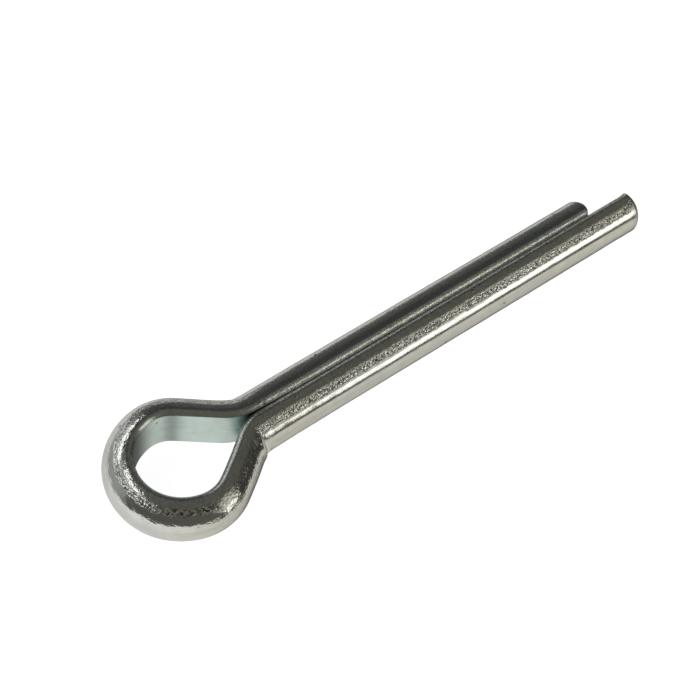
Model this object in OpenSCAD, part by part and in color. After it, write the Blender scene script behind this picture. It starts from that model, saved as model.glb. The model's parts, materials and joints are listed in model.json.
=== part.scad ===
// Cotter pin with an extended prong: one length of half-round steel wire, folded
// into an eye, with its two legs closed flat against flat to make a round shank.
// Millimetres. The origin is on the shank's axis, where the straight legs start.
// X runs along the shank towards the tips, and Z is up with the pin lying flat.
// The two sides mirror each other in the XZ plane, apart from the legs' lengths.

/* [Wire] */
// Radius of the closed shank, and so of the wire's round side
shank_r = 3.55; // [2.5:0.05:5]
// Radius of the two long edges where the wire's flat meets its round side
edge_r = 0.9; // [0.4:0.05:1.2]

/* [Legs] */
// Clearance between the flats of the two legs
leg_gap = 0.1; // [0.05:0.05:0.5]
// Straight length of the short leg
leg_len = 50.4; // [30:0.1:90]
// Length of the prong, the long leg's end that stands out past the short leg
prong = 5.7; // [2:0.1:10]
// Angle by which the face of each end leans back towards the flat
shear_a = 22; // [5:1:30]
// Radius that shearing leaves round the outside of each end
tip_r = 1.1; // [0.4:0.1:1.6]

/* [Eye] */
// Inside radius of the eye's front
front_r = 4.95; // [3:0.05:8]
// Angle that the front takes on each side of the shank's axis
front_a = 42; // [25:1:55]
// Inside radius of the eye's two sides
side_r = 5.65; // [4:0.05:9]
// Angle that each side takes
side_a = 36; // [20:1:48]
// Inside radius of the two heels, where the eye turns back to the shank
heel_r = 3.6; // [1.5:0.05:6]

/* [Neck] */
// Angle between the shank and each of the two limbs that lead to the eye
neck_a = 36.6; // [28:0.1:50]
// Outside radius of the bend from a limb into its leg
neck_r = 2.8; // [0.5:0.05:5]

/* [Hidden] */
$fn = 64;

half_gap = leg_gap / 2;
// Thickness of the wire, from its flat to the crown of its round side
wire_t = shank_r - half_gap;
// Centre of the rounding of a long edge: out from the shank's axis, and up
edge_out = half_gap + edge_r;
edge_up = sqrt(pow(shank_r - edge_r, 2) - pow(edge_out, 2));
// Where that rounding runs into the round side, as an angle from the wire's crown
edge_a = atan2(edge_up, edge_out);
// The rounding of an end overshoots by this much, so that it leaves a fine edge
tip_ease = 0.05;

// The flat's outward normal turns clockwise on the side where Y is positive,
// through the eye's front, side and heel and along the limb. Places are counted
// from the centre of the front until the whole pin is moved to its origin.
side_from = 180 - front_a;
heel_from = side_from - side_a;
limb_normal = 90 - neck_a;
side_c = (front_r - side_r) * heading(side_from);
heel_c = side_c + (side_r - heel_r) * heading(heel_from);
limb_from = heel_c + heel_r * heading(limb_normal);
// The bend into the leg turns the other way, about a centre on the round side.
neck_flat_r = neck_r + wire_t;
neck_drop = neck_flat_r * (1 - cos(neck_a));
limb_len = (limb_from.y - half_gap - neck_drop) / sin(neck_a);
limb_to = limb_from + limb_len * heading(-neck_a);
neck_c = limb_to + neck_flat_r * heading(limb_normal);

function heading(a) = [cos(a), sin(a)];

// Section of the wire: X is out from the shank's axis, and Y is up
module wire_section() {
    big = 2 * shank_r;
    intersection() {
        circle(shank_r);
        polygon([[0, 0], big * heading(-edge_a), [big, 0], big * heading(edge_a)]);
        translate([half_gap, -big]) square([big, 2 * big]);
    }
    translate([half_gap, -edge_up]) square([edge_r, 2 * edge_up]);
    for (side = [-1, 1]) translate([edge_out, side * edge_up]) circle(edge_r);
}

// Straight wire along X, with its flat on the X axis and its round side to +Y
module straight(len) {
    rotate([90, 0, 90]) linear_extrude(len)
        translate([-half_gap, 0]) wire_section();
}

// Wire bent about Z with its flat on the inside, at radius r
module bend_in(r, from, to) {
    rotate_extrude(angle = to - from, start = from)
        translate([r - half_gap, 0]) wire_section();
}

// Wire bent about Z with its flat on the outside, at radius r
module bend_out(r, from, to) {
    rotate_extrude(angle = to - from, start = from)
        translate([r + half_gap, 0]) mirror([1, 0]) wire_section();
}

// What shearing takes off a leg that ends at X = 0: a ring round the outside, and
// all that lies past the leaning face
module end_cut() {
    big = 2 * shank_r;
    centre = tip_ease - tip_r;
    rotate([0, 90, 0]) rotate_extrude() translate([shank_r + centre, centre]) difference() {
        square(2 * tip_r);
        circle(tip_r);
    }
    translate([0, shank_r - tip_r, 0]) rotate([0, 0, -shear_a])
        translate([0, -big, -big]) cube(2 * big);
}

// Leg on the side where Y is positive, with its sheared end
module leg(len) {
    difference() {
        translate([0, half_gap, 0]) straight(len);
        translate([len, 0, 0]) end_cut();
    }
}

// Joins stretches of wire that meet end to end into one solid. They are joined at a
// thousandth of their size, where rounding is too small to hold two ends apart.
module joined() {
    scale(1000) for (i = [0:$children - 1]) scale(0.001) children(i);
}

// One side of the pin, from the eye's front to the end of its leg
module half_pin(len) {
    joined() {
        translate(side_c) bend_in(side_r, heel_from, side_from);
        translate(heel_c) bend_in(heel_r, limb_normal, heel_from);
        translate(limb_from) rotate([0, 0, -neck_a]) straight(limb_len);
        translate(neck_c) bend_out(neck_flat_r, 270 - neck_a, 270);
        translate([neck_c.x, 0, 0]) leg(len);
    }
}

module cotter_pin() {
    color([0.72, 0.73, 0.70]) translate([-neck_c.x, 0, 0]) joined() {
        bend_in(front_r, side_from, 360 - side_from);
        half_pin(leg_len);
        mirror([0, 1, 0]) half_pin(leg_len + prong);
    }
}

cotter_pin();
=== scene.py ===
"""The looks of the cotter pin: bright zinc plate on half-round wire, bent and sheared.

Sizes are in millimetres until a mesh or a light is made, and then in metres. The
frame is the CAD's: X along the shank to the tips, Y across the legs with the short
leg at positive Y, Z up, and the origin where the straight legs start. The camera
stands on the long leg's side, so that side is called near and the short leg's far.
"""
import json
import math
from types import SimpleNamespace

import bpy
import numpy as np
from mathutils import Matrix, Vector, noise


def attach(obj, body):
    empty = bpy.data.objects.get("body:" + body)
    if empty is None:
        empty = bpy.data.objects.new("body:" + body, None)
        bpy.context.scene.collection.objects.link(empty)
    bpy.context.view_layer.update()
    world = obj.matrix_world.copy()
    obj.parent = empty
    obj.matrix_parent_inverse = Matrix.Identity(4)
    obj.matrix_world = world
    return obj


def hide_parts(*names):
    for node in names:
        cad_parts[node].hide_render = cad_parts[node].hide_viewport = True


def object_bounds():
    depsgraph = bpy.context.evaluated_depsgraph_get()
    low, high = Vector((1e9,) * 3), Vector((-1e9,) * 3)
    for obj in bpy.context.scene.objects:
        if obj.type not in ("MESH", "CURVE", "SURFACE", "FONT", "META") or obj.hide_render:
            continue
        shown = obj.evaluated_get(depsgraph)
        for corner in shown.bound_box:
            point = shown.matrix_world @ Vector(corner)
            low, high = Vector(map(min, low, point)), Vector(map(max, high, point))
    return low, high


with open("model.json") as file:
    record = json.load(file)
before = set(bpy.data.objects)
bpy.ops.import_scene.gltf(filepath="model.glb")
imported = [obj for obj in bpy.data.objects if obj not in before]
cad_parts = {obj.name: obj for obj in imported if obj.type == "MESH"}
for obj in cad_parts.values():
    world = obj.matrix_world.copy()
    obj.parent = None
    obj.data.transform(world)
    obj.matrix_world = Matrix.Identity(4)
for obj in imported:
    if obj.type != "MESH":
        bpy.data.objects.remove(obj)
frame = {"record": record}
cad_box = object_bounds()

MM = 0.001

# ---------------------------------------------------------------- the wire's sizes
# Two come from the frame, and the rest repeat part.scad's. Angles are in degrees.
SHANK_R = frame["record"]["mounts"][0]["dims"]["r_mm"]
LONG_LEG = cad_box[1].x / MM
LEG_GAP = 0.1
PRONG = 5.7
SHORT_LEG = LONG_LEG - PRONG
SHEAR_A = 22
TIP_R = 1.1
TIP_EASE = 0.05  # the rounding at a tip is set this far out past the wire and its end
FRONT_R = 4.95
FRONT_A = 42
SIDE_R = 5.65
SIDE_A = 36
HEEL_R = 3.6
NECK_A = 36.6
NECK_R = 2.8

HALF_GAP = LEG_GAP / 2
WIRE_T = SHANK_R - HALF_GAP

# The CAD's plain edge radius is here what it stands for: a bevel between two roundings,
# which are the shoulder, on the round side, and the small corner, at the flat.
SHOULDER_R = 0.6
SHOULDER_IN = 0.66  # from the flat to the shoulder's centre
BEVEL_TURN = math.radians(139)  # the way the bevel faces, turned from straight out
CORNER_R = 0.09
SHOULDER_UP = math.sqrt((SHANK_R - SHOULDER_R) ** 2 - (HALF_GAP + SHOULDER_IN) ** 2)
SHOULDER_TURN = math.atan2(SHOULDER_UP, HALF_GAP + SHOULDER_IN)
CORNER_UP = SHOULDER_UP + (SHOULDER_R - CORNER_R - (CORNER_R - SHOULDER_IN) * math.cos(BEVEL_TURN)
                           ) / math.sin(BEVEL_TURN)

# ------------------------------------------------------------ how finely it is cut
PATH_STEP = 0.05  # between the points at which the path is worked out
NECK_STEP = 0.08  # between the mesh's rows in the necks, in the eye and on the legs
BEND_STEP = 0.16
LEG_STEP = 0.28
SECTION_STEP = 0.165
CORNER_STEPS = 3
BEVEL_STEPS = 4
SHOULDER_STEPS = 6
BEND_BLUR = 0.35  # how far a bend runs over into what is next to it
TIP_ZONE = 1.9  # the length of leg whose rows close up on the sheared end
TIP_SIDE_STEPS = (0.15, 0.3, 0.45, 0.58, 0.7, 0.8, 0.88, 0.94, 0.98, 1.0)
TIP_FACE_RINGS = (0.985, 0.965, 0.94, 0.91, 0.88, 0.85, 0.82, 0.79, 0.76, 0.72, 0.67,
                  0.6, 0.5, 0.38, 0.24, 0.1)

# ------------------------------------------------------------------ wear, shape and painted light
# The eye is not quite even: its near limb and its front's far side stand out, and its
# far limb is thinner. Centre, along the wire from the eye's front; width; how much.
EYE_LEAN = ((13.5, 3.6, 0.26), (-4.5, 3.0, 0.1))
FAR_THIN = (-14, 4.0, 0.13)

# How the legs lie: pressed together and rolled, from one X to the full at the other, with
# a droop of the short one. The whole wire sways a little.
LEGS_CLOSE = (-4, 8)
CLOSE_UP = 0.03
LEG_ROLL = math.radians(3.6)
SHORT_DROOP = 0.15
DROOP_FROM = 22  # X
SWAY = 0.022
SWAY_LENGTH = 14

# The drawn wire's lumps, and its peel.
WIRE_LUMP = 0.012
WIRE_LUMP_LENGTH = 2.6
PEEL = 0.011
PEEL_LENGTH = 0.85
PEEL_FULL_R = 6  # bends of this radius and less have all of it
PEEL_ON_STRAIGHT = 0.25  # the share that straight wire has
PEEL_OFF_FLAT = 0.6  # the share that the flat lacks

# The sharp fold on each neck's crown side, and the bulge of the limb beside it.
FOLD_DEPTH = 0.26
FOLD_LENGTH = 1.3
BULGE = 0.1
BULGE_FROM_FOLD = 1.3
BULGE_LENGTH = 0.7
FAR_CREASE = 0.3  # the far neck's share of both
CREASE_TURN = (1.3, 0.3)  # radians off the crown at which both begin and are full
NECK_TURNING = -0.01  # a neck is where the wire turns by less than this, in radians a mm
FOLD_TURNING = -0.02  # its fold is in the middle of where it turns by less than this

# The burr on the long leg's end: its height, how far it reaches back, and where it starts.
BURR = 0.32
BURR_LENGTH = 0.9
BURR_UP = 1.5
BURR_EVEN, BURR_RAGGED = 0.7, 0.6
BURR_LUMP_LENGTH = 0.9

# The noise that shapes the wire, and where some of it starts, to be unlike the rest.
NOISE_KIND = (1.0, 2.0, 2)  # how its octaves fade, the ratio of their sizes, their number
PEEL_NOISE = 40
BURR_NOISE = 7
SWAY_Z_NOISE = 90

# Stretches of the pin by X: where each begins, and where it is at its full.
ON_LEGS = (0, 3)
IN_EYE = (1, -2)
IN_FRONT = (-6, -12)
LIMB_BACK = (-11, -10)
LIMB_AHEAD = (-1, -2)

# The wire's edge and its scuffs, by the degrees from straight out to the way they face. The scuffs are
# rougher, and lighter as a painted highlight.
EDGE_OUTER = (72, 92)
EDGE_INNER = (178, 168)
PAINTED_EDGE_HIGHLIGHT = 0.6  # a painted highlight: how much lighter the short leg's edges are made
LEG_SCUFF_HIGHLIGHT = 121
LIMB_SCUFF_HIGHLIGHT = 108
LIMB_SCUFF_HIGHLIGHT_DEPTH = 0.7
SCUFF_HIGHLIGHT_WIDTH = 11  # full over this, and fading over the same to either side

# The grain starts so many radians further off the crown in the eye's front and at the
# ends, and these shares of it are lacking on the far back, more so on its leg, and on
# the near limb.
FRONT_SHIFT = 0.08
END_SHIFT = 0.5
FAR_SMOOTH = 0.35
FAR_LEG_SMOOTH = 0.5
LIMB_SMOOTH = 0.65

WORKED_LENGTH = 1.4 * TIP_R  # how far the shears smeared the ends
SHELTER_SHADE_GAP = 1.6  # painted shade where the flats face each other, to a third at this gap between them
FLAT_SHADES = ((-13.6, 1.5, 0.64), (-8.2, 0.65, 0.5), (-1.2, 0.8, 0.3))  # painted shade on the flats, for the pin's shadow on the floor that they mirror: X, width, depth
SHADE_LIMIT = 0.8
SHADE_FROM_Y = -2


# ------------------------------------------------------------------ the wire's path
def heading(degrees):
    """Unit vector in the plane of the pin."""
    return np.array([math.cos(math.radians(degrees)), math.sin(math.radians(degrees))])


def bend(centre, flat_r, start, end, side=1):
    """Points on a bend's flat and their outward normals; side -1 has the flat outside."""
    count = max(2, round(abs(math.radians(end - start)) * flat_r / PATH_STEP))
    angles = np.linspace(start, end, count, endpoint=False)
    normals = np.array([heading(a) for a in angles])
    return centre + side * flat_r * normals, normals


def run(start, end, normal):
    """Points on a straight stretch of the flat, and their outward normals."""
    count = max(2, round(np.linalg.norm(end - start) / PATH_STEP))
    shares = np.linspace(0, 1, count, endpoint=False)[:, None]
    return start + shares * (end - start), np.repeat(normal[None, :], count, axis=0)


def half_path(leg):
    """The flat of one side, from the eye's front to the end of its leg, in part.scad's steps."""
    side_from = 180 - FRONT_A
    heel_from = side_from - SIDE_A
    limb_normal = 90 - NECK_A
    side_c = (FRONT_R - SIDE_R) * heading(side_from)
    heel_c = side_c + (SIDE_R - HEEL_R) * heading(heel_from)
    limb_from = heel_c + HEEL_R * heading(limb_normal)
    neck_flat_r = NECK_R + WIRE_T
    neck_drop = neck_flat_r * (1 - math.cos(math.radians(NECK_A)))
    limb_len = (limb_from[1] - HALF_GAP - neck_drop) / math.sin(math.radians(NECK_A))
    limb_to = limb_from + limb_len * heading(-NECK_A)
    neck_c = limb_to + neck_flat_r * heading(limb_normal)
    leg_from = np.array([neck_c[0], HALF_GAP])
    stretches = [
        bend(np.zeros(2), FRONT_R, 180, side_from),
        bend(side_c, SIDE_R, side_from, heel_from),
        bend(heel_c, HEEL_R, heel_from, limb_normal),
        run(limb_from, limb_to, heading(limb_normal)),
        bend(neck_c, neck_flat_r, limb_normal, 90, side=-1),
        run(leg_from, leg_from + [leg, 0], heading(90)),
    ]
    points = np.vstack([s[0] for s in stretches]) - [neck_c[0], 0]
    return points, np.vstack([s[1] for s in stretches])


def blurred(values):
    """Values along the wire, eased over BEND_BLUR so that bends run smoothly into straights."""
    reach = round(3 * BEND_BLUR / PATH_STEP)
    weights = np.exp(-0.5 * (np.arange(-reach, reach + 1) * PATH_STEP / BEND_BLUR) ** 2)
    weights /= weights.sum()
    padded = np.pad(values, ((reach, reach), (0, 0)), mode="reflect", reflect_type="odd")
    return np.column_stack([np.convolve(column, weights, "valid") for column in padded.T])


def wire_path():
    """The flat from the short leg round the eye to the long leg: distance, point, normal, bend."""
    short_p, short_n = half_path(SHORT_LEG)
    long_p, long_n = half_path(LONG_LEG)
    mirrored = np.array([1, -1])
    points = blurred(np.vstack([short_p[::-1], (long_p * mirrored)[1:]]))
    normals = blurred(np.vstack([short_n[::-1], (long_n * mirrored)[1:]]))
    normals /= np.linalg.norm(normals, axis=1, keepdims=True)
    gaps = np.linalg.norm(np.diff(points, axis=0), axis=1)
    along = np.concatenate([[0], np.cumsum(gaps)])
    turning = np.gradient(np.unwrap(np.arctan2(normals[:, 1], normals[:, 0])), along)
    return along, points, normals, turning


def cut_stations(along, points, turning):
    """Distances along the wire of the mesh's rows, from one tip's zone to the other's."""
    other_leg = 9  # put on the leg that isn't meant, so that its points are never the nearest
    to_short = np.abs(points[:, 0] - (SHORT_LEG - TIP_ZONE)) + other_leg * (points[:, 1] < 0)
    to_long = np.abs(points[:, 0] - (LONG_LEG - TIP_ZONE)) + other_leg * (points[:, 1] > 0)
    first = along[np.argmin(to_short)]
    last = along[np.argmin(to_long)]
    stations = [first]
    while stations[-1] < last - LEG_STEP:
        in_neck = np.interp(stations[-1], along, turning) < NECK_TURNING
        in_eye = np.interp(stations[-1], along, points[:, 0]) < IN_EYE[0]
        stations.append(stations[-1] + (NECK_STEP if in_neck else BEND_STEP if in_eye else LEG_STEP))
    return np.array(stations + [last])


# ---------------------------------------------------------------- section and tips
def arc(centre, radius, start, end, count):
    """Points round a centre and their normals, without the last."""
    angles = np.linspace(start, end, count, endpoint=False)
    ways = np.column_stack([np.cos(angles), np.sin(angles)])
    return centre + radius * ways, ways


def section():
    """Wire section from the flat's middle round: outward and up, with the normals."""
    flat_count = round(CORNER_UP / SECTION_STEP)
    crown_count = round(SHOULDER_TURN * SHANK_R / SECTION_STEP)
    flat = np.column_stack([np.zeros(flat_count), np.linspace(0, CORNER_UP, flat_count, endpoint=False)])
    bevel_way = heading(math.degrees(BEVEL_TURN))
    bevel_from = np.array([CORNER_R, CORNER_UP]) + CORNER_R * bevel_way
    bevel_to = np.array([SHOULDER_IN, SHOULDER_UP]) + SHOULDER_R * bevel_way
    shares = np.linspace(0, 1, BEVEL_STEPS, endpoint=False)[:, None]
    parts = [
        (flat, np.repeat([[-1.0, 0.0]], flat_count, axis=0)),
        arc([CORNER_R, CORNER_UP], CORNER_R, math.pi, BEVEL_TURN, CORNER_STEPS),
        (bevel_from + shares * (bevel_to - bevel_from), np.repeat([bevel_way], BEVEL_STEPS, axis=0)),
        arc([SHOULDER_IN, SHOULDER_UP], SHOULDER_R, BEVEL_TURN, SHOULDER_TURN, SHOULDER_STEPS),
        arc([-HALF_GAP, 0], SHANK_R, SHOULDER_TURN, 0, crown_count),
    ]
    upper = np.vstack([p for p, _ in parts])
    ways = np.vstack([w for _, w in parts])
    mirror = np.array([1, -1])
    points = np.vstack([upper, [[WIRE_T, 0.0]], upper[:0:-1] * mirror])
    return points, np.vstack([ways, [[1.0, 0.0]], ways[:0:-1] * mirror])


def end_reach(out, up, leg):
    """How far along X the sheared end reaches, above a point of the section."""
    from_axis = np.hypot(out + HALF_GAP, up)
    ring_from = SHANK_R + TIP_EASE - TIP_R
    in_ring = np.clip(from_axis - ring_from, 0, TIP_R)
    ring = leg + TIP_EASE - TIP_R + np.sqrt(TIP_R ** 2 - in_ring ** 2)
    lean = np.clip(SHANK_R - TIP_R - out - HALF_GAP, 0, None)
    face = leg - lean * math.tan(math.radians(SHEAR_A))
    return np.minimum(np.minimum(ring, face), leg)


def tip(leg, side, station, profile, profile_n):
    """Rings from the last station to the end's edge and on over its face, as swept gives them."""
    edge = end_reach(profile[:, 0], profile[:, 1], leg)
    start = leg - TIP_ZONE
    middle = np.array([profile[:, 0].mean(), 0])
    rings, ways, flats = [], [], []
    for share in TIP_SIDE_STEPS:
        x = start + (edge - start) * share
        rings.append(np.column_stack([x, side * (profile[:, 0] + HALF_GAP), profile[:, 1]]))
        ways.append(np.column_stack([0 * x, side * profile_n[:, 0], profile_n[:, 1]]))
        flats.append(profile)
    for share in TIP_FACE_RINGS:
        shrunk = middle + (profile - middle) * share
        x = end_reach(shrunk[:, 0], shrunk[:, 1], leg)
        rings.append(np.column_stack([x, side * (shrunk[:, 0] + HALF_GAP), shrunk[:, 1]]))
        ways.append(np.repeat([[1.0, 0.0, 0.0]], len(profile), axis=0))
        flats.append(shrunk)
    rings = np.array(rings)
    beyond = rings[:, :, 0] - start
    unbent = np.concatenate([(station - side * beyond)[:, :, None], np.array(flats)], axis=2)
    return rings, np.array(ways), unbent


# ------------------------------------------------------------------- the bare wire
def rise(values, start, end):
    """From 0 at start to 1 at end, and level beyond both; end may be the lower one."""
    return np.clip((values - start) / (end - start), 0, 1)


def swell(values, centre, width):
    """1 at the centre, fading smoothly away over that width."""
    return np.exp(-0.5 * ((values - centre) / width) ** 2)


def fractal(points, size, start=0):
    """Smooth noise from about -1 to 1 at each point; size is the widest lump's, in mm."""
    scaled = ((points + start) / size).reshape(-1, 3)
    values = [noise.fractal(Vector(p), *NOISE_KIND) for p in scaled]
    return np.array(values).reshape(points.shape[:-1])


def swept(place, outward, stations, profile, profile_n):
    """The section at each station: points, the ways they face, and their places unbent.

    A place unbent is where the point is on the same wire pulled straight: along it, out
    from its flat, and up.
    """
    shape = (len(stations), len(profile), 3)
    xyz, facing, unbent = np.empty(shape), np.empty(shape), np.empty(shape)
    xyz[:, :, :2] = place[:, None, :] + outward[:, None, :] * profile[None, :, :1]
    xyz[:, :, 2] = profile[:, 1]
    facing[:, :, :2] = outward[:, None, :] * profile_n[None, :, :1]
    facing[:, :, 2] = profile_n[:, 1]
    unbent[:, :, 0] = stations[:, None]
    unbent[:, :, 1:] = profile
    return xyz, facing, unbent


def bare_wire():
    """The clean wire in rows of points, from the short leg's end to the long leg's.

    bent, thinned and off_axis are columns, with one value a row. profile and turned have
    one value for each place in a row, and the others one for each point.
    """
    along, points, normals, turning = wire_path()
    profile, profile_n = section()
    stations = cut_stations(along, points, turning)

    def at(columns):
        """The path's columns at the stations."""
        return np.column_stack([np.interp(stations, along, column) for column in columns.T])

    place, outward = at(points), at(normals)
    outward /= np.linalg.norm(outward, axis=1, keepdims=True)
    from_front = stations - along[np.argmin(points[:, 0])]
    lean = sum(most * swell(from_front, centre, width) for centre, width, most in EYE_LEAN)
    place += outward * lean[:, None]

    short_tip = tip(SHORT_LEG, 1, stations[0], profile, profile_n)
    long_tip = tip(LONG_LEG, -1, stations[-1], profile, profile_n)
    body = swept(place, outward, stations, profile, profile_n)
    xyz, facing, unbent = (np.concatenate([before[::-1], rows, after])
                           for before, rows, after in zip(short_tip, body, long_tip))

    def by_row(values):
        """Values at the stations as a column, with 0 on the tips' rows."""
        return np.pad(values, len(short_tip[0]))[:, None]

    centre, width, most = FAR_THIN
    left_over = np.where(xyz[:, :, 1] > 0, SHORT_LEG, LONG_LEG) - xyz[:, :, 0]
    return SimpleNamespace(
        xyz=xyz, facing=facing, unbent=unbent, profile=profile,
        bent=by_row(np.interp(stations, along, turning)),
        thinned=by_row(most * swell(from_front, centre, width)),
        off_axis=by_row(place[:, 1]),
        turned=np.degrees(np.arccos(np.clip(profile_n[:, 0], -1, 1))),
        from_crown=np.abs(np.arctan2(unbent[:, :, 2], unbent[:, :, 1] + HALF_GAP)),
        on_flat=np.clip(1 - unbent[:, :, 1] / CORNER_R, 0, 1),
        worked=np.clip(1 - left_over / WORKED_LENGTH, 0, 1),
    )


# ------------------------------------------------------------ what was done to the wire
def neck_push(wire, side, share):
    """How far outward one neck's fold and bulge push the surface; side 1 is the short leg's."""
    along = wire.unbent[:, :, 0]
    in_neck = (wire.bent < FOLD_TURNING) & (side * wire.xyz[:, :, 1] > 0)
    from_fold = (along - along[in_neck].mean()) * side
    fold = np.clip(1 - np.abs(from_fold) / FOLD_LENGTH, 0, 1) ** 2
    bulge = swell(from_fold, BULGE_FROM_FOLD, BULGE_LENGTH)
    over_crown = rise(wire.from_crown, *CREASE_TURN)
    return share * over_crown * (BULGE * bulge - FOLD_DEPTH * fold)


def work_surface(wire):
    """Push the surface out and in: lumps, peel, each neck's fold, and the thinner far limb."""
    lumps = fractal(wire.unbent, WIRE_LUMP_LENGTH)
    peel = fractal(wire.unbent, PEEL_LENGTH, PEEL_NOISE)
    stretched = np.clip(np.abs(wire.bent) * PEEL_FULL_R, 0, 1)
    peeled = PEEL_ON_STRAIGHT + (1 - PEEL_ON_STRAIGHT) * stretched
    push = WIRE_LUMP * lumps + PEEL * peel * peeled * (1 - PEEL_OFF_FLAT * wire.on_flat)
    for side, share in ((1, FAR_CREASE), (-1, 1)):
        push += neck_push(wire, side, share)
    on_back = np.clip(2.4 - 1.7 * wire.from_crown, 0, 1)  # from 1.4 radians off the crown to 0.8
    push -= wire.thinned * on_back * (1 - wire.on_flat)
    wire.xyz += wire.facing * push[:, :, None]


def raise_burr(wire):
    """Shearing leaves a burr that leans over the flat at the end of the long leg."""
    out, up = wire.unbent[:, :, 1], wire.unbent[:, :, 2]
    end_edge = end_reach(wire.profile[:, 0], wire.profile[:, 1], LONG_LEG)[None, :]
    near_edge = np.clip(1 - np.abs(wire.xyz[:, :, 0] - end_edge) / BURR_LENGTH, 0, 1)
    over_flat = np.clip(1 - out, 0, 1) * (up > BURR_UP) * (wire.xyz[:, :, 1] < 0)
    ragged = BURR_EVEN + BURR_RAGGED * fractal(wire.unbent * [0, 1, 1], BURR_LUMP_LENGTH, BURR_NOISE)
    wire.xyz[:, :, 1] += BURR * near_edge ** 4 * over_flat * ragged


def set_legs(wire):
    """Press the legs together and roll them a little about the pin's axis; one droops."""
    x, true_y, z = (wire.xyz[:, :, axis].copy() for axis in range(3))
    is_short = true_y > 0
    closed = rise(x, *LEGS_CLOSE)
    closed = closed ** 2 * (3 - 2 * closed)
    roll = closed * LEG_ROLL
    y = true_y + closed * np.where(is_short, -CLOSE_UP, CLOSE_UP)
    droop = rise(x, DROOP_FROM, SHORT_LEG)
    wire.xyz[:, :, 1] = y * np.cos(roll) - z * np.sin(roll)
    wire.xyz[:, :, 2] = y * np.sin(roll) + z * np.cos(roll) - SHORT_DROOP * droop * is_short
    wire.true_y, wire.roll = true_y, roll


def let_sway(wire):
    """The wire sways a little from true all along, so that each leg does it in its own way."""
    sway_at = wire.unbent[:, 0] * [1, 0, 0]
    sway_y = SWAY * fractal(sway_at, SWAY_LENGTH)
    sway_z = 2 * SWAY * fractal(sway_at, SWAY_LENGTH, SWAY_Z_NOISE)
    wire.xyz[:, :, 1] += sway_y[:, None]
    wire.xyz[:, :, 2] += sway_z[:, None]


def finish_masks(wire):
    """What the plate's finish, with its painted shade and highlights, depends on at each point, by the
    names that zinc_plate reads.
    """
    x, y = wire.xyz[:, :, 0], wire.true_y
    on_legs = rise(x, *ON_LEGS)
    near_limb = rise(x, *LIMB_BACK) * rise(x, *LIMB_AHEAD) * (y < 0)
    far_back = np.clip((y - HALF_GAP - SHOULDER_IN) * 3, 0, 1)  # full a third of a mm on
    edge = rise(wire.turned, *EDGE_OUTER) * rise(wire.turned, *EDGE_INNER)
    on_edge = np.repeat(edge[None, :], len(x), axis=0)
    shade = sum(depth * swell(x, centre, width) for centre, width, depth in FLAT_SHADES)
    off_crown = wire.from_crown - FRONT_SHIFT * rise(x, *IN_FRONT) - END_SHIFT * wire.worked

    # the scuffs are rougher and carry a painted highlight, on the near leg's edge by the seam and on the
    # near limb's inner top edge
    def scuff_highlight(turn):
        return np.clip(1.5 - np.abs(wire.turned - turn) / SCUFF_HIGHLIGHT_WIDTH, 0, 1)

    leg_scuff_highlight = scuff_highlight(LEG_SCUFF_HIGHLIGHT) * (y < 0) * on_legs
    limb_scuff_highlight = scuff_highlight(LIMB_SCUFF_HIGHLIGHT) * near_limb * LIMB_SCUFF_HIGHLIGHT_DEPTH
    return {
        "off_crown": off_crown + wire.roll * np.where(y > 0, 1, -1),
        "grain": 1 - (FAR_SMOOTH + FAR_LEG_SMOOTH * on_legs) * far_back - LIMB_SMOOTH * near_limb,
        # painted shade on the flats
        "shade": np.clip(shade, 0, SHADE_LIMIT) * (y > SHADE_FROM_Y),
        # painted highlight along the short leg's edges
        "painted_edge_highlight": PAINTED_EDGE_HIGHLIGHT * on_edge * (y > 0) * on_legs,
        # rougher scuffs with a painted highlight
        "scuff_and_highlight": leg_scuff_highlight + limb_scuff_highlight * (wire.unbent[:, :, 2] > 0),
        "on_flat": wire.on_flat,
        "on_edge": on_edge,
        "in_eye": rise(x, *IN_EYE),
        # painted shade on the flats where they face each other
        "shelter_shade": np.exp(-2 * np.abs(wire.off_axis) / SHELTER_SHADE_GAP) * wire.on_flat,
        "worked": wire.worked,
    }


# ------------------------------------------------------------------------- the mesh
def closed_mesh(name, xyz):
    """A mesh of the rows of points, closed at both ends by a fan round a point of its own."""
    rows, ring = xyz.shape[:2]
    index = np.arange(rows * ring).reshape(rows, ring)
    beside = np.roll(index, -1, axis=1)
    quads = np.stack([index[:-1], index[1:], beside[1:], beside[:-1]], axis=2).reshape(-1, 4)
    centres = np.array([xyz[0].mean(axis=0), xyz[-1].mean(axis=0)])
    verts = np.vstack([xyz.reshape(-1, 3), centres]) * MM
    first, last = rows * ring, rows * ring + 1
    faces = [tuple(q) for q in quads.tolist()]
    faces += [(int(index[0, i]), int(beside[0, i]), first) for i in range(ring)]
    faces += [(int(beside[-1, i]), int(index[-1, i]), last) for i in range(ring)]
    mesh = bpy.data.meshes.new(name)
    mesh.from_pydata(verts.tolist(), [], faces)
    mesh.polygons.foreach_set("use_smooth", [True] * len(mesh.polygons))
    return mesh


def store(mesh, name, kind, field, values):
    """Keep values on the mesh's points, under the name that the material reads."""
    attribute = mesh.attributes.new(name, kind, "POINT")
    attribute.data.foreach_set(field, np.asarray(values, np.float32).ravel())


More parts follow.
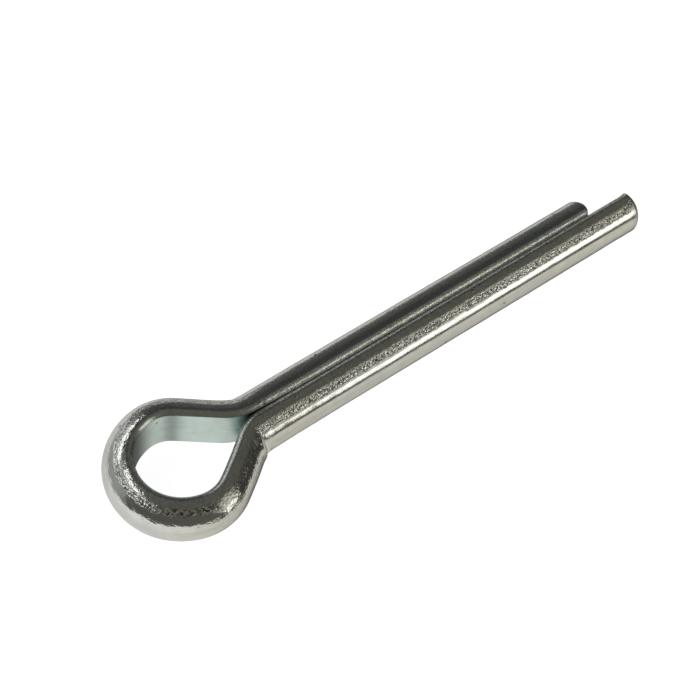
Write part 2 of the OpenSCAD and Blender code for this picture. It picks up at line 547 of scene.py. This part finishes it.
def make_pin():
    """The whole wire as one closed mesh, with its own coordinates and masks as attributes."""
    wire = bare_wire()
    work_surface(wire)
    raise_burr(wire)
    set_legs(wire)
    let_sway(wire)
    mesh = closed_mesh("wire_pin", wire.xyz)
    ends = np.array([wire.unbent[0].mean(axis=0), wire.unbent[-1].mean(axis=0)])
    store(mesh, "unrolled", "FLOAT_VECTOR", "vector", np.vstack([wire.unbent.reshape(-1, 3), ends]))
    for name, values in finish_masks(wire).items():
        at_ends = 1 if name == "worked" else 0
        store(mesh, name, "FLOAT", "value", np.append(values.ravel(), [at_ends, at_ends]))
    mesh.update()
    piece = bpy.data.objects.new("wire_pin", mesh)
    bpy.context.scene.collection.objects.link(piece)
    return piece


# ---------------------------------------------------------------------- node helpers
def empty_tree(owner):
    """The node tree of a material or world, switched on and emptied."""
    owner.use_nodes = True
    owner.node_tree.nodes.clear()
    return owner.node_tree


def wire_up(tree, kind, inputs=(), **settings):
    """A node with its settings and inputs; an input is a value or another node's socket."""
    node = tree.nodes.new(kind)
    for name, value in settings.items():
        setattr(node, name, value)
    for key, value in dict(inputs).items():
        if isinstance(value, bpy.types.NodeSocket):
            tree.links.new(value, node.inputs[key])
        else:
            node.inputs[key].default_value = value
    return node


def calc(tree, operation, *values, clamp=False):
    """One sum, as a Math node names it, on values or sockets."""
    node = wire_up(tree, "ShaderNodeMath", enumerate(values), operation=operation, use_clamp=clamp)
    return node.outputs[0]


def product(tree, *values):
    """All the values multiplied together."""
    result = values[0]
    for value in values[1:]:
        result = calc(tree, "MULTIPLY", result, value)
    return result


def without(tree, value, clamp=False):
    """What is left of 1 when the value is taken from it."""
    return calc(tree, "SUBTRACT", 1.0, value, clamp=clamp)


def ramp(tree, value, low, high, to_low=0.0, to_high=1.0):
    """Value taken smoothly from low..high to to_low..to_high."""
    node = wire_up(tree, "ShaderNodeMapRange", {"Value": value, "From Min": low, "From Max": high,
                   "To Min": to_low, "To Max": to_high}, interpolation_type="SMOOTHSTEP")
    return node.outputs[0]


def speckle(tree, place, size, detail=2.0, stretch=1.0, roughness=0.5):
    """Noise from 0 to 1 with lumps of that size in mm, longer along the wire by stretch."""
    scaled = wire_up(tree, "ShaderNodeVectorMath", {0: place, 1: (1 / stretch, 1, 1)}, operation="MULTIPLY")
    node = wire_up(tree, "ShaderNodeTexNoise", {"Vector": scaled.outputs[0], "Scale": 1 / size,
                   "Detail": detail, "Roughness": roughness})
    return node.outputs[0]


def cells(tree, place, size):
    """A node that divides the surface into cells of about that size in mm."""
    return wire_up(tree, "ShaderNodeTexVoronoi", {"Vector": place, "Scale": 1 / size, "Randomness": 1.0})


def colour_mix(tree, factor, low, high):
    """A colour between low and high."""
    return wire_up(tree, "ShaderNodeMix", {0: factor, 6: low, 7: high}, data_type="RGBA").outputs[2]


# -------------------------------------------------------------------------- material
ZINC = (0.63, 0.635, 0.605, 1)
ZINC_WARM = (0.65, 0.635, 0.585, 1)
ZINC_COOL = (0.6, 0.715, 0.685, 1)

# The grain on the wire's sides, by radians off the crown: where it comes in, where it
# fades to its last share, and how ragged its borders are. The edge has a share of its own.
GRAIN_FROM, GRAIN_FULL = 0.76, 0.86
GRAIN_FADE, GRAIN_END = 0.94, 1.07
GRAIN_LAST = 0.2
GRAIN_RAGGED = 0.3
EDGE_GRAIN_LEG, EDGE_GRAIN_EYE = 0.5, 0.1

# Sizes of the surface's marks in mm.
RAGGED_SIZE = 0.5
FINE_SIZE = 0.16
PEEL_SIZE = 0.5
DRAWN_SIZE = 0.22
SMEAR_SIZE = 0.3
SLOW_SIZE = 16
CLOUD_SIZE = 1.6
STAIN_SIZE = 0.15
STREAK_SIZE = 0.12
PIT_SPACING = 2.5
PIT_FLOOR, PIT_RIM = 0.035, 0.1  # radii, as shares of the spacing

# Heights of its relief in mm. Where two stand together, a mask takes one to the other.
GRAIN_LOW, GRAIN_HIGH = 0.003, 0.07
PEEL_ON_LEG, PEEL_IN_EYE = 0.006, 0.05
FROST_HIGH = 0.02
DRAWN_HIGH = 0.004
SMEAR_HIGH = 0.06
PIT_DEEP = 0.03
FLAT_RELIEF = 0.2  # the flat's share of the grain and the peel
EYE_GRAIN = 0.85  # the eye's share of the grain

# How much darker each mask makes the plate, or lighter if below 0, and how much rougher.
# Of these, the sheltering is painted shade between the flats, and the lightening of the short leg's edges
# and of the scuffs is a painted highlight.
DARKENS = {"pits": 0.5, "shelter_shade": 0.25, "painted_edge_highlight": -1.0, "scuff_and_highlight": -0.6, "worked": 0.45}
ROUGHENS = {"on_flat": 0.16, "worked": 0.08, "grainy": 0.09, "on_edge": 0.14, "scuff_and_highlight": 0.4}
CLOUD_DARK = (-0.04, 0.08)  # from the least of the clouds, streaks or stain to the most
STREAK_DARK = (0, 0.16)
STAIN_DARK = (0.8, -0.55)
SMOOTH_STAIN = 0.22  # the stain's share where grain is lacking
CLOUD_ROUGH = (0.11, 0.16)  # the clean plate's roughness


def plate_masks(tree, place):
    """The masks by name as sockets: the mesh's own, and those worked out from them."""
    stored = ("off_crown", "grain", "shade", "painted_edge_highlight", "scuff_and_highlight", "on_flat", "on_edge", "in_eye",
              "shelter_shade", "worked")
    masks = {name: wire_up(tree, "ShaderNodeAttribute", attribute_name=name).outputs["Fac"]
             for name in stored}
    ragged = calc(tree, "MULTIPLY_ADD", speckle(tree, place, RAGGED_SIZE, detail=3, roughness=0.7),
                  GRAIN_RAGGED, -GRAIN_RAGGED / 2)
    ragged_off = calc(tree, "ADD", masks["off_crown"], ragged)
    beyond = ramp(tree, ragged_off, GRAIN_FROM, GRAIN_FULL)
    fading = ramp(tree, ragged_off, GRAIN_FADE, GRAIN_END, 1, GRAIN_LAST)
    edge_grain = ramp(tree, masks["in_eye"], 0, 1, EDGE_GRAIN_LEG, EDGE_GRAIN_EYE)
    masks["grainy"] = calc(tree, "MAXIMUM", product(tree, masks["grain"], beyond, fading),
                           product(tree, masks["on_edge"], edge_grain))
    masks["smooth"] = without(tree, masks["grain"], clamp=True)
    masks["round_side"] = without(tree, masks["on_flat"], clamp=True)
    distance = cells(tree, place, PIT_SPACING).outputs["Distance"]
    masks["pits"] = ramp(tree, distance, PIT_FLOOR, PIT_RIM, 1, 0)
    return masks


def plate_relief(tree, place, masks):
    """The surface's normal over its grain, peel, frost, draw marks, smeared ends and pits."""
    fine = speckle(tree, place, FINE_SIZE, detail=1, stretch=1.3, roughness=0.6)
    peel = speckle(tree, place, PEEL_SIZE, detail=2, roughness=0.55)
    drawn = speckle(tree, place, DRAWN_SIZE, detail=2, stretch=30)
    smear = speckle(tree, place, SMEAR_SIZE, detail=4, roughness=0.7)
    less_on_flat = ramp(tree, masks["round_side"], 0, 1, FLAT_RELIEF, 1)
    height = product(tree, fine, ramp(tree, masks["grainy"], 0, 1, GRAIN_LOW, GRAIN_HIGH), less_on_flat,
                     ramp(tree, masks["in_eye"], 0, 1, 1, EYE_GRAIN))
    peel_high = ramp(tree, masks["in_eye"], 0, 1, PEEL_ON_LEG, PEEL_IN_EYE)
    for part in (
        product(tree, peel, peel_high, less_on_flat),
        product(tree, fine, masks["smooth"], FROST_HIGH),
        product(tree, drawn, DRAWN_HIGH),
        product(tree, smear, masks["worked"], SMEAR_HIGH),
        product(tree, masks["pits"], -PIT_DEEP),
    ):
        height = calc(tree, "ADD", height, part)
    bump = wire_up(tree, "ShaderNodeBump", {"Height": height, "Distance": MM, "Strength": 1.0})
    return bump.outputs[0]


def plate_colour(tree, place, masks, cloud):
    """Zinc that is warmer in places and cool on the flat, stained and streaked, darker at the sheared ends,
    with painted shade on and between the flats and painted highlights on some edges.
    """
    slow = speckle(tree, place, SLOW_SIZE, detail=1)
    tone = colour_mix(tree, ramp(tree, slow, 0.35, 0.65), ZINC, ZINC_WARM)
    tone = colour_mix(tree, masks["on_flat"], tone, ZINC_COOL)
    cell_colour = cells(tree, place, STAIN_SIZE).outputs["Color"]
    stain = wire_up(tree, "ShaderNodeSeparateColor", {0: cell_colour}).outputs[0]
    stained = calc(tree, "MAXIMUM", masks["grainy"], product(tree, masks["smooth"], SMOOTH_STAIN))
    stained = product(tree, stained, masks["round_side"])
    light = without(tree, product(tree, ramp(tree, stain, 0.1, 0.9, *STAIN_DARK), stained))
    streak = speckle(tree, place, STREAK_SIZE, detail=2, stretch=60)
    darker = [
        ramp(tree, cloud, 0.3, 0.75, *CLOUD_DARK),
        ramp(tree, streak, 0.5, 0.75, *STREAK_DARK),
        # the painted shade on the flats
        product(tree, masks["shade"], masks["on_flat"]),
    ]
    darker += [product(tree, masks[name], share) for name, share in DARKENS.items()]
    for part in darker:
        light = product(tree, light, without(tree, part))
    return wire_up(tree, "ShaderNodeVectorMath", {0: tone, 1: light}, operation="MULTIPLY").outputs[0]


def zinc_plate():
    """Bright zinc: smooth on the crown, grainy to the edges, peeled where it was bent."""
    material = bpy.data.materials.new("bright_zinc_plate")
    tree = empty_tree(material)
    place = wire_up(tree, "ShaderNodeAttribute", attribute_name="unrolled").outputs["Vector"]
    masks = plate_masks(tree, place)
    cloud = speckle(tree, place, CLOUD_SIZE, detail=4, roughness=0.6)
    rough = ramp(tree, cloud, 0.25, 0.75, *CLOUD_ROUGH)
    for name, more in ROUGHENS.items():
        rough = calc(tree, "ADD", rough, product(tree, masks[name], more))
    shader = wire_up(tree, "ShaderNodeBsdfPrincipled", {
        "Base Color": plate_colour(tree, place, masks, cloud), "Metallic": 1.0,
        "Roughness": rough, "Normal": plate_relief(tree, place, masks),
    })
    wire_up(tree, "ShaderNodeOutputMaterial", {"Surface": shader.outputs[0]})
    return material


# ---------------------------------------------------------------------------- studio
# The metal sees a white sheet below it and a room above. A patch is azimuth, elevation,
# degrees within which it is full, degrees beyond which it is gone, and what it adds.
SHEET_BELOW, SHEET_AHEAD = 0.64, 0.83
SHEET_Z = (-0.9, -0.1)  # the Z of the ways down and ahead that see those two
SHEET_PATCHES = ((-160, -40, 15, 75, 0.2), (20, -45, 5, 42, -0.5))
SHEET_SLOPE = 0.205  # how far down its edge is seen, for each unit outward
SHEET_EDGE = (-0.01, 0.03)  # the edge is this soft
SLOPE_PATCHES = ((-140, 0, 30, 70, -0.18), (-24, 0, 10, 34, 0.1), (63, 0, 10, 24, 0.08))
ROOM_LEVEL = 0.12
ROOM_PATCHES = (
    (125, 5, 28, 50, 0.3),  # a pale wall
    (-58, 26, 4, 22, 0.6),  # the glow above the side window
    (64, 42, 15, 36, -0.065),  # two darker corners
    (-22, 6, 16, 34, -0.065),
)
ROOM_WARM = (1, 0.99, 0.86, 1)
ROOM_COOL = (0.94, 1, 1, 1)
ROOM_COOL_AT = (100, 20, 20, 100)  # the patch in which the tint is the second
SHEET_COOL = (1, 1, 0.985, 1)
SHEET_WARM = (1, 0.985, 0.91, 1)
SHEET_WARM_AT = (-60, -20, 20, 90)
WHITE = (1, 1, 1, 1)

FLOOR_HALF = 3.0  # in metres
FLOOR_GLOW = 0.93
FLOOR_MATT = (0.6, 0.6, 0.6, 1)
LAMP_DISTANCE = 0.7  # in metres


def towards(azimuth, elevation):
    """Unit vector at that azimuth from +X and that elevation."""
    a, e = math.radians(azimuth), math.radians(elevation)
    return Vector((math.cos(a) * math.cos(e), math.sin(a) * math.cos(e), math.sin(e)))


def patch(tree, direction, azimuth, elevation, inner, outer):
    """1 within inner degrees of a direction, and 0 beyond outer."""
    dot = wire_up(tree, "ShaderNodeVectorMath", {0: direction, 1: towards(azimuth, elevation)},
                  operation="DOT_PRODUCT").outputs["Value"]
    return ramp(tree, dot, math.cos(math.radians(outer)), math.cos(math.radians(inner)))


def patched(tree, direction, level, patches):
    """A level with what each patch adds to it."""
    for *where, more in patches:
        level = calc(tree, "MULTIPLY_ADD", patch(tree, direction, *where), more, level)
    return level


def studio_world():
    """White to the camera; to the metal a white sheet below, and a room that is lighter on one side."""
    world = bpy.data.worlds.new("studio")
    tree = empty_tree(world)
    direction = wire_up(tree, "ShaderNodeTexCoord").outputs["Generated"]
    x, y, z = wire_up(tree, "ShaderNodeSeparateXYZ", {0: direction}).outputs
    squares = calc(tree, "ADD", product(tree, x, x), product(tree, y, y))
    slope = patched(tree, direction, SHEET_SLOPE, SLOPE_PATCHES)
    edge = product(tree, calc(tree, "SQRT", squares), slope)
    on_sheet = ramp(tree, calc(tree, "SUBTRACT", product(tree, z, -1), edge), *SHEET_EDGE)
    room = patched(tree, direction, ROOM_LEVEL, ROOM_PATCHES)
    sheet = ramp(tree, z, *SHEET_Z, SHEET_BELOW, SHEET_AHEAD)
    sheet = patched(tree, direction, sheet, SHEET_PATCHES)
    level = calc(tree, "ADD", product(tree, sheet, on_sheet), product(tree, room, without(tree, on_sheet)))
    room_tint = colour_mix(tree, patch(tree, direction, *ROOM_COOL_AT), ROOM_WARM, ROOM_COOL)
    sheet_tint = colour_mix(tree, patch(tree, direction, *SHEET_WARM_AT), SHEET_COOL, SHEET_WARM)
    tint = colour_mix(tree, on_sheet, room_tint, sheet_tint)
    seen = wire_up(tree, "ShaderNodeBackground", {"Color": tint, "Strength": level})
    white = wire_up(tree, "ShaderNodeBackground", {"Color": WHITE, "Strength": 1.0})
    is_camera = wire_up(tree, "ShaderNodeLightPath").outputs["Is Camera Ray"]
    mixed = wire_up(tree, "ShaderNodeMixShader", {0: is_camera, 1: seen.outputs[0], 2: white.outputs[0]})
    wire_up(tree, "ShaderNodeOutputWorld", {0: mixed.outputs[0]})
    bpy.context.scene.world = world


def floor_under_pin():
    """A plain white floor at the pin's lowest point, with a faint shadow."""
    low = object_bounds()[0].z
    mesh = bpy.data.meshes.new("floor")
    corners = [(x * FLOOR_HALF, y * FLOOR_HALF, low) for x, y in ((-1, -1), (1, -1), (1, 1), (-1, 1))]
    mesh.from_pydata(corners, [], [(0, 1, 2, 3)])
    floor = bpy.data.objects.new("floor", mesh)
    bpy.context.scene.collection.objects.link(floor)
    material = bpy.data.materials.new("white_floor")
    tree = empty_tree(material)
    glow = wire_up(tree, "ShaderNodeEmission", {"Color": WHITE, "Strength": FLOOR_GLOW})
    matt = wire_up(tree, "ShaderNodeBsdfDiffuse", {"Color": FLOOR_MATT})
    mixed = wire_up(tree, "ShaderNodeAddShader", {0: glow.outputs[0], 1: matt.outputs[0]})
    wire_up(tree, "ShaderNodeOutputMaterial", {"Surface": mixed.outputs[0]})
    mesh.materials.append(material)
    floor.visible_glossy = False


def softbox(name, azimuth, elevation, width, height, radiance, tilt=0):
    """A lamp seen from the pin as that many degrees wide and high; tilt raises its left end."""
    out = towards(azimuth, elevation)
    light = bpy.data.lights.new(name, "AREA")
    light.shape = "RECTANGLE"
    light.size = 2 * LAMP_DISTANCE * math.tan(math.radians(width / 2))
    light.size_y = 2 * LAMP_DISTANCE * math.tan(math.radians(height / 2))
    light.energy = radiance * math.pi * light.size * light.size_y
    lamp = bpy.data.objects.new(name, light)
    side = Vector((0, 0, 1)).cross(out).normalized()
    side = Matrix.Rotation(math.radians(-tilt), 3, out) @ side
    lamp.matrix_world = Matrix((side, out.cross(side), out)).transposed().to_4x4()
    lamp.location = out * LAMP_DISTANCE
    lamp.visible_camera = False
    bpy.context.scene.collection.objects.link(lamp)


# ---------------------------------------------------------------------------- camera
CAMERA_TARGET = (-3.98, 1.741, 0)  # from the middle of the CAD's length, on the pin's axis
CAMERA_AZIMUTH = 47.1  # the way it looks, turned from +Y towards +X
CAMERA_ELEVATION = 58.83
CAMERA_ROLL = 12.0
CAMERA_DISTANCE = 197.61
CAMERA_LENS = 87.43
SENSOR_WIDTH = 36
CLIP_START = 0.01  # in metres


def camera():
    """Looks down on the pin from behind its eye, rolled a little."""
    turn, drop, roll = map(math.radians, (CAMERA_AZIMUTH, CAMERA_ELEVATION, CAMERA_ROLL))
    ahead = Vector((math.sin(turn) * math.cos(drop), math.cos(turn) * math.cos(drop), -math.sin(drop)))
    level = Vector((math.cos(turn), -math.sin(turn), 0))
    upright = level.cross(ahead)
    right = level * math.cos(roll) + upright * math.sin(roll)
    up = upright * math.cos(roll) - level * math.sin(roll)
    data = bpy.data.cameras.new("camera")
    data.sensor_width = SENSOR_WIDTH
    data.lens = CAMERA_LENS
    data.clip_start = CLIP_START
    eye = bpy.data.objects.new("camera", data)
    middle = (cad_box[0] + cad_box[1]) / 2
    on_axis = Vector((middle.x, 0, 0))
    eye.matrix_world = Matrix((right, up, -ahead)).transposed().to_4x4()
    eye.location = on_axis + Vector(CAMERA_TARGET) * MM - ahead * CAMERA_DISTANCE * MM
    bpy.context.scene.collection.objects.link(eye)
    bpy.context.scene.camera = eye


# --------------------------------------------------------------------------- the scene
camera()
pin = make_pin()
pin.data.materials.append(zinc_plate())
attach(pin, "root")
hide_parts("cotter_pin")

studio_world()
floor_under_pin()
softbox("side_window", azimuth=-57.5, elevation=6.5, width=25, height=15, radiance=1.6, tilt=-10)
softbox("strip_left", azimuth=104.5, elevation=31, width=41, height=10, radiance=1.9, tilt=8)
softbox("strip_back", azimuth=157, elevation=50, width=42, height=12, radiance=1.9, tilt=24)
bpy.context.scene.view_settings.view_transform = "Standard"
